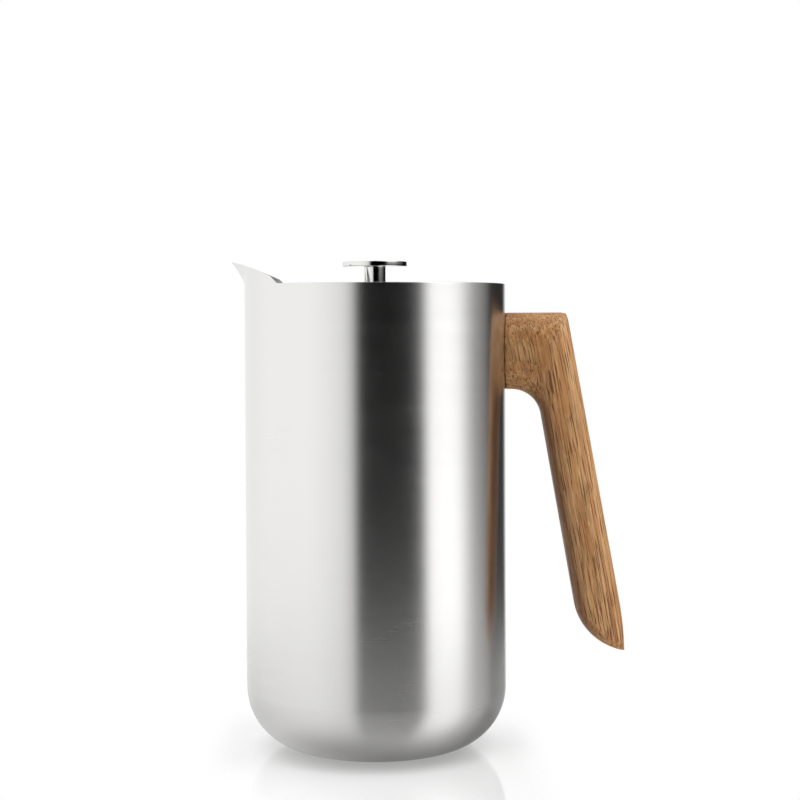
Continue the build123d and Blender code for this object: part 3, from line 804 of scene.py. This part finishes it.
def handle_pairs():
    """Outer and inner points of each oval, from the vessel to the tip."""
    pairs = [((x, ARM_TOP), (x, ARM_TOP - ARM_DEPTH)) for x in (54.15, 54.6, 55.4)]
    for step in range(32):
        turn = math.radians(90 - 2.5 * step)
        inner = Vector((math.cos(turn), math.sin(turn))) * PALM_ROUND + Vector(PALM)
        pairs.append((tuple(palm_ray(turn)), tuple(inner)))
    last_outer, last_inner = pairs[-1]
    pairs += [
        (between(last_outer, OUTER_LOW, s / 16), between(last_inner, INNER_LOW, s / 16))
        for s in range(1, 17)
    ]
    down = (OUTER_LOW[0] - OUTER_TOP[0], OUTER_LOW[1] - OUTER_TOP[1])
    for s in range(1, 25):
        share = 1 - (1 - s / 24) ** 1.6
        outer = arc_through(OUTER_LOW, TIP, down, share)
        inner = end_point(1 - (1 - s / 24) ** 1.25)
        pairs.append((outer, inner))
    return pairs


pairs = handle_pairs()
print(len(pairs), "ovals, leg width", round(math.dist(*pairs[45]), 1), "mm")

# %% [markdown]
# Each oval is a *superellipse*: a little squarer than an ellipse, as a sanded block is. We start
# with one ring of vertices, extrude it from station to station, and move each new ring into its
# oval. Near the tip the oval is thinner, because the rounded edges run out of width there.

# %% Build the handle
OVAL_POINTS = 80


def oval_place(index, outer, inner, power=2.5):
    """Where a vertex of an oval belongs, in millimetres."""
    angle = math.tau * index / OVAL_POINTS
    half = math.dist(outer, inner) / 2
    thin = 10.0 if half >= 8 else 2 + math.sqrt(64 - (8 - half) ** 2)
    c, s = math.cos(angle), math.sin(angle)
    side = math.copysign(abs(c) ** (2 / power), c)
    deep = math.copysign(abs(s) ** (2 / power), s)
    middle = (Vector(outer) + Vector(inner)) / 2
    place = middle + (Vector(outer) - Vector(inner)) / 2 * side
    return Vector((place.x, thin * deep, place.y))


def oval_chain(pairs):
    """A closed skin over the whole chain of ovals."""
    bm = bmesh.new()
    ring = bmesh.ops.create_circle(bm, segments=OVAL_POINTS, radius=0.01)["verts"]
    edges = bm.edges[:]
    order = {vert: index for index, vert in enumerate(ring)}
    for station, (outer, inner) in enumerate(pairs):
        if station:
            made = bmesh.ops.extrude_edge_only(bm, edges=edges)["geom"]
            fresh = [item for item in made if isinstance(item, bmesh.types.BMVert)]
            edges = [item for item in made if isinstance(item, bmesh.types.BMEdge)
                     and item.verts[0] in fresh and item.verts[1] in fresh]
            follows = {}
            for vert in fresh:
                for edge in vert.link_edges:
                    other = edge.other_vert(vert)
                    if other in order:
                        follows[vert] = order[other]
            order = follows
        for vert, index in order.items():
            vert.co = oval_place(index, outer, inner) * MM
            if station < 2:
                hug = math.sqrt((54.15 * MM) ** 2 - vert.co.y**2)
                vert.co.x = hug + station * 0.45 * MM
        if station == 0:
            bmesh.ops.contextual_create(bm, geom=edges)
            middle = Vector((54.15, 0, 164.2)) * MM
            for vert in order:
                vert.co.yz = middle.yz + (vert.co.yz - middle.yz) * 0.975
    bmesh.ops.contextual_create(bm, geom=edges)
    return bm


def cut(piece, cutter, operation="DIFFERENCE"):
    """Takes a closed cutter away from a finished piece, or keeps only what is inside it."""
    bmesh.ops.recalc_face_normals(cutter, faces=cutter.faces)
    mesh = bpy.data.meshes.new("cutter")
    cutter.to_mesh(mesh)
    cutter.free()
    tool = bpy.data.objects.new("cutter", mesh)
    bpy.context.scene.collection.objects.link(tool)
    saw = piece.modifiers.new("saw", "BOOLEAN")
    saw.object = tool
    saw.operation = operation
    saw.solver = "EXACT"
    bpy.context.view_layer.update()
    settle(piece)
    bpy.data.objects.remove(tool)


def block(bm, low, high):
    """A box between two corners in millimetres."""
    size = Vector(high) - Vector(low)
    middle = (Vector(high) + Vector(low)) / 2
    shape = Matrix.Translation(middle * MM) @ Matrix.Diagonal((*size * MM, 1))
    bmesh.ops.create_cube(bm, size=1.0, matrix=shape)


def peg(bm, radius, low, high, x=0.0, y=0.0, segments=48):
    """A vertical round bar between two heights in millimetres."""
    place = Matrix.Translation(Vector((x, y, (low + high) / 2)) * MM)
    bmesh.ops.create_cone(
        bm, cap_ends=True, segments=segments, radius1=radius * MM, radius2=radius * MM,
        depth=(high - low) * MM, matrix=place,
    )


SCREW_X = 62.5
grip = finish_piece(
    "oak_handle", oval_chain(pairs), "vessel", oak, ["handle_grip"], sharp=50.0)
for low, high in (((50, -6.15, 153.85), (55.65, 6.15, 176.15)),
                  ((50, -5.15, 160.85), (69.15, 5.15, 169.15))):
    cutter = bmesh.new()
    block(cutter, low, high)
    cut(grip, cutter)
for radius, low, high in ((5.0, 136, 155), (2.65, 150, 165)):
    cutter = bmesh.new()
    peg(cutter, radius, low, high, x=SCREW_X)
    cut(grip, cutter)
grip.data.set_sharp_from_angle(angle=math.radians(50))
print("handle faces after its recesses:", len(grip.data.polygons))

# %% [markdown]
# A short oak plug closes the screw's pocket. It is sanded flush with the palm's curve, so it is
# cut from the same block: whatever of the ovals lies inside the pocket's bore is the plug.

# %% Cut the plug
plug = finish_piece(
    "oak_plug", oval_chain(pairs), "vessel", oak, ["handle_plug"], sharp=50.0)
cutter = bmesh.new()
peg(cutter, 4.95, 136, 150, x=SCREW_X)
cut(plug, cutter, "INTERSECT")
plug.data.set_sharp_from_angle(angle=math.radians(50))
print("plug faces:", len(plug.data.polygons))

# %% [markdown]
# ## The bracket under the wood
#
# A curved saddle is welded to the outer wall. Its square tang goes into the handle's mortise, and
# a round-headed screw comes up through the arm into it. None of this shows once the plug is in,
# but it is all there when the press is taken apart.

# %% Make the bracket, screw and washer
def arc_plate(inner, outer, low, high, half_width, steps=8):
    """A plate that is curved round the vessel's axis, on the handle's side."""
    bm = bmesh.new()
    verts = [bm.verts.new((r * MM, 0, z * MM))
             for r, z in ((inner, low), (outer, low), (outer, high), (inner, high))]
    bm.faces.new(verts)
    half = math.asin(half_width / outer)
    bmesh.ops.rotate(bm, verts=bm.verts, cent=(0, 0, 0), matrix=Matrix.Rotation(-half, 3, "Z"))
    bmesh.ops.spin(bm, geom=bm.faces[:], cent=(0, 0, 0), axis=(0, 0, 1),
                   angle=2 * half, steps=steps)
    return bm


def soften(bm, width, angle=30.0, segments=2):
    """Bevels every edge that turns by more than an angle."""
    bmesh.ops.remove_doubles(bm, verts=bm.verts, dist=1e-7)
    bmesh.ops.recalc_face_normals(bm, faces=bm.faces)
    hard = [e for e in bm.edges if e.is_manifold and e.calc_face_angle() > math.radians(angle)]
    bmesh.ops.bevel(bm, geom=hard, offset=width * MM, segments=segments, affect="EDGES",
                    profile=0.5, material=-1)
    return bm


bm = soften(arc_plate(54.02, 55.5, 154, 176, 6.0), 0.2)
tang = bmesh.new()
block(tang, (55.4, -5, 161), (69, 5, 169))
soften(tang, 0.4)
mesh = bpy.data.meshes.new("tang")
tang.to_mesh(mesh)
tang.free()
bm.from_mesh(mesh)
finish_piece("bracket", bm, "vessel", inner_steel, ["handle_bracket"])

bm = turned([
    (0, 151.6), (2.2, 151.6), (2.2, 150.2, 0.1), (4.25, 150.2, 0.4), (4.25, 154.2, 0.1),
    (2.5, 154.2, 0.1), (2.5, 167.2, 0.4), (0, 167.2),
], steps=48)
bmesh.ops.translate(bm, verts=bm.verts, vec=(SCREW_X * MM, 0, 0))
finish_piece(
    "socket_screw", bm, "vessel", polished_steel, ["handle_screw"])
bm = turned([
    (2.7, 154.2, 0.1), (4.7, 154.2, 0.15), (4.7, 155, 0.15), (2.7, 155, 0.1)], steps=48)
bmesh.ops.translate(bm, verts=bm.verts, vec=(SCREW_X * MM, 0, 0))
finish_piece(
    "screw_washer", bm, "vessel", polished_steel, ["handle_washer"])

# %% [markdown]
# ## The knob and the rod
#
# The knob is a flat disc on a plain stem, both mirror bright. Its edges are only just broken, so
# the highlights along them stay thin. It screws on the rod's reduced top end.

# %% Turn the knob and the rod
bm = turned([
    (2.05, 191.5), (4.5, 191.5, 0.25), (4.5, 199.4, 0.2), (13.4, 199.4, 0.25),
    (13.4, 201.4, 0.25), (0, 201.4), (0, 198.0), (2.05, 198.0),
], steps=128)
finish_piece("steel_knob", bm, "plunger", polished_steel, ["knob"])

bm = turned([
    (0, 23.2), (2.0, 23.2, 0.3), (2.0, 30.05), (2.5, 30.05, 0.15), (2.5, 191.48, 0.15),
    (2.0, 191.48), (2.0, 197.4, 0.3), (0, 197.4),
], steps=64)
finish_piece("rod", bm, "plunger", polished_steel, ["plunger_rod"])

bm = turned([
    (2.03, 28.87, 0.1), (7.0, 28.87, 0.3), (7.0, 32.03, 0.8), (2.52, 32.03, 0.1),
    (2.52, 30.03), (2.03, 30.03),
], steps=64)
finish_piece("collar", bm, "plunger", polished_steel, ["rod_collar"])

# %% [markdown]
# ## The lid's steel cover
#
# The cover is a shallow pressed cap that turns on the insert. A sector-shaped port goes through
# it on the beak's side. The port is cut with a wedge of the same section, and its edge is broken
# with a small bevel so that it catches light.

# %% Make the cover
PORT_INNER = 38.0
PORT_OUTER = 47.0
PORT_HALF = math.radians(24.0)


def port_cutter(low, high, margin=0.0):
    """A sector-shaped bar on the beak's side."""
    bm = bmesh.new()
    corners = [(PORT_INNER - margin, low), (PORT_OUTER + margin, low),
               (PORT_OUTER + margin, high), (PORT_INNER - margin, high)]
    bm.faces.new([bm.verts.new((-r * MM, 0, z * MM)) for r, z in corners])
    bmesh.ops.rotate(
        bm, verts=bm.verts, cent=(0, 0, 0), matrix=Matrix.Rotation(-PORT_HALF, 3, "Z"))
    bmesh.ops.spin(bm, geom=bm.faces[:], cent=(0, 0, 0), axis=(0, 0, 1),
                   angle=2 * PORT_HALF, steps=24)
    bmesh.ops.remove_doubles(bm, verts=bm.verts, dist=1e-7)
    return bm


bm = turned([
    (5.3, 189.2, 0.1), (50.8, 189.2, 0.3), (50.8, 185.8, 0.15), (51.6, 185.8, 0.15),
    (51.6, 190, 0.7), (5.3, 190, 0.2),
])
cover = finish_piece("cover", bm, "cover", cover_steel, ["lid_cover"])
cut(cover, port_cutter(186, 192))


def break_edges(piece, width, low, high, segments=2, angle=60.0):
    """Bevels the hard edges that a cut has left between two heights."""
    bm = bmesh.new()
    bm.from_mesh(piece.data)
    hard = [
        e for e in bm.edges
        if e.is_manifold and e.calc_face_angle() > math.radians(angle)
        and all(low * MM < v.co.z < high * MM and v.co.x < 0 for v in e.verts)
        and all(abs(v.co.y) < -v.co.x * math.tan(PORT_HALF) + 0.0002 for v in e.verts)
    ]
    bmesh.ops.bevel(bm, geom=hard, offset=width * MM, segments=segments, affect="EDGES",
                    profile=0.5, material=-1, clamp_overlap=True)
    bm.to_mesh(piece.data)
    bm.free()
    piece.data.set_sharp_from_angle(angle=math.radians(40))


break_edges(cover, 0.12, 189.9, 190.1)
print("cover faces:", len(cover.data.polygons))

# %% [markdown]
# ## The lid's insert
#
# Under the cover sits a moulded insert: a thick disc with a flange that rests on the pot's cone,
# and a skirt that reaches down into the bore. Coffee leaves through a strainer of nine slots in
# the floor of its port.

# %% Make the insert
bm = turned([
    (5.1, 188.9, 0.2), (50.4, 188.9, 0.5), (50.4, 185.3, 0.2), (51.9, 185.3, 0.3),
    (51.9, 180.2, 0.3), (48.9, 177.2, 0.3), (48.9, 172.4, 0.15), (47.7, 172.4),
    (47.7, 169.0), (48.9, 169.0, 0.15), (48.9, 166, 0.6), (46.9, 166, 0.6),
    (46.9, 182.9, 1.2), (5.1, 182.9, 0.2),
])
insert = finish_piece("insert", bm, "lid", black_plastic, ["lid_insert"])
cut(insert, port_cutter(184.7, 190))
half_width = PORT_INNER * math.sin(PORT_HALF) - 1.5
slots = bmesh.new()
for index in range(9):
    y = -half_width + index * half_width / 4
    reach = math.sqrt((PORT_INNER + 0.6) ** 2 - y**2)
    far = math.sqrt((PORT_OUTER - 0.6) ** 2 - y**2)
    near = max(reach, (abs(y) + 1.35) / math.tan(PORT_HALF))
    block(slots, (-far, y - 1.1, 182), (-near, y + 1.1, 186))
cut(insert, slots)
insert.data.set_sharp_from_angle(angle=math.radians(40))
print("insert faces:", len(insert.data.polygons))

# %% [markdown]
# ## Seals, bush and nut
#
# The small turned parts between the lid and the rod are made from their sections, each with its
# edges broken as a lathe or a mould leaves them. The nut starts as a six-sided bar.

# %% Turn the small parts of the lid
bm = turned([
    (47.75, 169.05, 0.2), (48.8, 169.05), (49.2, 169.55, 0.12), (49.2, 169.95, 0.12),
    (48.8, 170.35, 0.15), (48.8, 171.05, 0.15), (49.2, 171.45, 0.12), (49.2, 171.85, 0.12),
    (48.8, 172.35), (47.75, 172.35, 0.2),
])
finish_piece("lid_ring_seal", bm, "lid", grey_silicone, ["lid_seal"])

bm = turned([
    (5.4, 188.92, 0.05), (14, 188.92, 0.08), (14, 189.15, 0.08), (5.4, 189.15, 0.05)], steps=96)
finish_piece(
    "glide_ring", bm, "lid", white_plastic, ["glide_washer"])

bm = turned([
    (2.55, 177.9, 0.2), (5.0, 177.9, 0.4), (5.0, 190.3, 0.1), (7.5, 190.3, 0.15),
    (7.5, 191.4, 0.5), (2.55, 191.4, 0.2), (2.55, 182.0), (3.8, 182.0), (3.8, 179.4),
    (2.55, 179.4),
], steps=96)
finish_piece("bush", bm, "lid", polished_steel, ["guide_bush"])

bm = turned([
    (2.53, 179.45, 0.35), (3.75, 179.45, 0.35), (3.75, 181.95, 0.35), (2.53, 181.95, 0.35),
], steps=64)
finish_piece("rod_wiper", bm, "wiper", grey_silicone, ["rod_seal"])

bm = turned([
    (5.15, 182.05, 0.1), (9, 182.05, 0.2), (9, 182.85, 0.2), (5.15, 182.85, 0.1)], steps=96)
finish_piece(
    "clamp_washer", bm, "lid", polished_steel, ["bush_washer"])


def nut(across, low, high, bore, crown):
    """A hexagonal nut with a turned lower face and a round bore."""
    bm = turned([
        (bore, low, 0.1), (across / 2 + 0.1, low), (across / 2 / math.cos(math.pi / 6) + 0.6,
        low + crown), (across / 2 / math.cos(math.pi / 6) + 0.6, high), (bore, high, 0.1),
    ], steps=96)
    for side in range(6):
        angle = math.tau * side / 6 + math.pi / 6
        out = Vector((math.cos(angle), math.sin(angle), 0))
        cap = bmesh.ops.bisect_plane(
            bm, geom=bm.verts[:] + bm.edges[:] + bm.faces[:], plane_co=out * across / 2 * MM,
            plane_no=out, clear_outer=True,
        )["geom_cut"]
        rim = [item for item in cap if isinstance(item, bmesh.types.BMEdge)]
        bmesh.ops.holes_fill(bm, edges=rim, sides=0)
    return bm


finish_piece(
    "lock_nut", nut(15, 178.5, 182.0, 5.05, 0.9), "lid", polished_steel,
    ["bush_nut"], sharp=25)

# %% [markdown]
# ## The filter
#
# The filter is a sandwich. A stiff plate with three rings of holes lies underneath. On it lies
# fine wire cloth with its edge turned up, then a coil of wire bent into a ring that presses the
# cloth against the pot, and a flanged plate on top.

# %% Make the two perforated plates
def punch(piece, rows, radius, low, high):
    """Punches rings of round holes. A row is (how many, radius of their circle)."""
    for count, circle in rows:
        cutter = bmesh.new()
        for index in range(count):
            angle = math.tau * index / count
            peg(cutter, radius, low, high, circle * math.cos(angle), circle * math.sin(angle), 40)
        cut(piece, cutter)
    piece.data.set_sharp_from_angle(angle=math.radians(35))
    print(f"{piece.name}: {sum(row[0] for row in rows)} holes")


bm = turned([
    (2.1, 28.15), (44.2, 28.15, 0.3), (45, 28.95, 0.3), (45, 31.55, 0.15), (44.3, 31.55, 0.15),
    (44.3, 29.25, 0.3), (43.9, 28.85, 0.3), (2.1, 28.85),
])
upper = finish_piece(
    "upper_plate", bm, "plunger", pressed_steel, ["spring_plate"])
punch(upper, [(6, 18.0), (12, 33.0)], 5.0, 27, 30)

bm = turned([(2.1, 27.0), (46, 27.0, 0.15), (46, 27.78, 0.15), (2.1, 27.78)])
lower = finish_piece(
    "lower_plate", bm, "plunger", pressed_steel, ["cross_plate"])
punch(lower, [(8, 15.0), (14, 27.0), (20, 38.5)], 4.0, 26, 29)

# %% [markdown]
# The coil is one long helix whose axis is bent into a circle. A wire is easiest as a curve with a
# round bevel, turned into a mesh at the end. The cloth is woven in the same way: each wire is a
# curve that passes over one crossing and under the next.

# %% Wind the coil
def wires(name, paths, radius, closed=False, sides=2):
    """A mesh of round wires, each along a list of points in millimetres."""
    curve = bpy.data.curves.new(name, "CURVE")
    curve.dimensions = "3D"
    curve.bevel_depth = radius * MM
    curve.bevel_resolution = sides
    curve.use_fill_caps = not closed
    for path in paths:
        line = curve.splines.new("POLY")
        line.points.add(len(path) - 1)
        for point, place in zip(line.points, path):
            point.co = (*(p * MM for p in place), 1)
        line.use_cyclic_u = closed
    holder = bpy.data.objects.new(name, curve)
    mesh = bpy.data.meshes.new_from_object(holder)
    bpy.data.objects.remove(holder)
    bm = bmesh.new()
    bm.from_mesh(mesh)
    return bm


COIL_TURNS = 230
COIL_STEPS = 14
COIL_WIRE = 0.24


def coil_point(index):
    """A point on the ring-shaped helix."""
    wind = math.tau * index / COIL_STEPS
    around = math.tau * index / (COIL_STEPS * COIL_TURNS)
    radius = 46.9 + (1.6 - COIL_WIRE) * math.cos(wind)
    return (radius * math.cos(around), radius * math.sin(around),
            29.8 + (1.6 - COIL_WIRE) * math.sin(wind))


path = [coil_point(index) for index in range(COIL_STEPS * COIL_TURNS)]
bm = wires("coil", [path], COIL_WIRE, closed=True, sides=1)
finish_piece("edge_coil", bm, "plunger", wire_steel, ["edge_spring"])

# %% Weave the cloth
PITCH = 1.25
CLOTH_WIRE = 0.09
CLOTH_RADIUS = 48.8
CLOTH_Z = 27.95


def woven_line(row, swap):
    """One wire of the cloth's flat floor, waving over and under its neighbours."""
    side = row * PITCH
    reach = math.sqrt(CLOTH_RADIUS**2 - side**2)
    count = int(reach / PITCH)
    path = []
    for step in range(-count, count + 1):
        wave = 0.055 * (-1) ** (row + step + (1 if swap else 0))
        spot = (step * PITCH, side) if swap else (side, step * PITCH)
        path.append((*spot, CLOTH_Z + wave))
    tail = (reach, side) if swap else (side, reach)
    head = (-reach, side) if swap else (side, -reach)
    return [(*head, CLOTH_Z)] + path + [(*tail, CLOTH_Z)]


rows = range(-38, 39)
lines = [woven_line(row, False) for row in rows] + [woven_line(row, True) for row in rows]
hem = []
POSTS = 240
for post in range(POSTS):
    angle = math.tau * post / POSTS
    hem.append([
        (r * math.cos(angle), r * math.sin(angle), z)
        for r, z in ((48.0, CLOTH_Z), (48.6, CLOTH_Z + 0.1), (48.82, CLOTH_Z + 0.6),
                     (48.82, CLOTH_Z + 3.75))
    ])
bm = wires("cloth", lines + hem, CLOTH_WIRE, sides=0)
for level in (1.0, 2.0, 3.0, 3.75):
    hoop = turned([
        (48.82 - CLOTH_WIRE, CLOTH_Z + level), (48.82, CLOTH_Z + level - CLOTH_WIRE),
        (48.82 + CLOTH_WIRE, CLOTH_Z + level), (48.82, CLOTH_Z + level + CLOTH_WIRE),
    ], steps=POSTS)
    mesh = bpy.data.meshes.new("hoop")
    hoop.to_mesh(mesh)
    hoop.free()
    bm.from_mesh(mesh)
finish_piece(
    "wire_cloth", bm, "plunger", wire_steel, ["filter_mesh"], sharp=60)

# %% Make the filter's nut
bm = turned([
    (2.05, 25.78, 0.05), (6.5, 25.78, 0.25), (6.5, 26.98, 0.25), (2.05, 26.98, 0.05)], steps=64)
body = nut(8.0, 22.38, 25.9, 2.05, 0.5)
mesh = bpy.data.meshes.new("nut body")
body.to_mesh(mesh)
body.free()
bm.from_mesh(mesh)
finish_piece(
    "filter_lock", bm, "plunger", polished_steel, ["filter_nut"], sharp=25)
